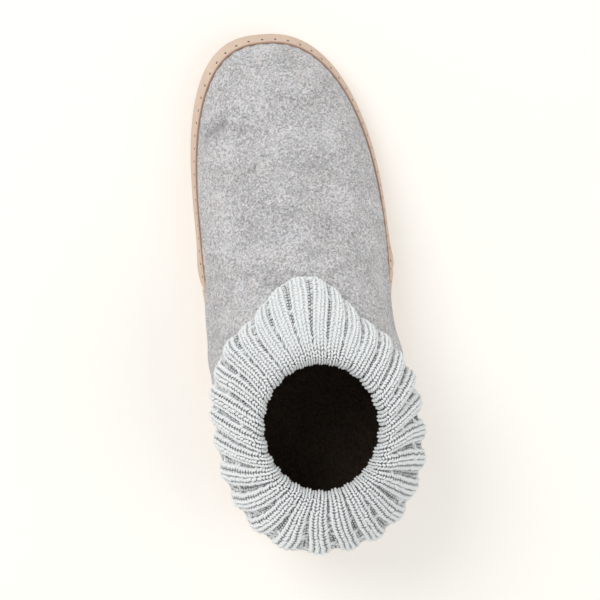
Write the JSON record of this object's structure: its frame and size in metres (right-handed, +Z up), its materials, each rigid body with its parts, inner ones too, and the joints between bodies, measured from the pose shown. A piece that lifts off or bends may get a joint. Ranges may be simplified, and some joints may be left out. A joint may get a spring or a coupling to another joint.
{
  "type": "felt slipper boot",
  "caption": "Low felt slipper boot with a flat suede sole, a stitched suede sidewall band and a turned-down ribbed knit cuff.",
  "frame": {"origin": "on the floor under the middle of the slipper's bounding box", "axes": "+Y towards the toe, +X towards the outer side of the right foot, +Z up; the sole rests on Z = 0"},
  "size_m": [0.105, 0.262, 0.105],
  "materials": {
    "sole_suede": "tan suede, fine nap",
    "band_suede": "tan suede, fine nap, stitched along the top edge",
    "felt": "heather grey wool felt",
    "knit": "pale grey ribbed wool knit",
    "insole_felt": "black felt"
  },
  "bodies": {
    "root": {"outsole": "sole_suede", "band_fore": "band_suede", "band_rear": "band_suede", "upper": "felt", "cuff": "knit", "insole": "insole_felt"}
  },
  "joints": []
}
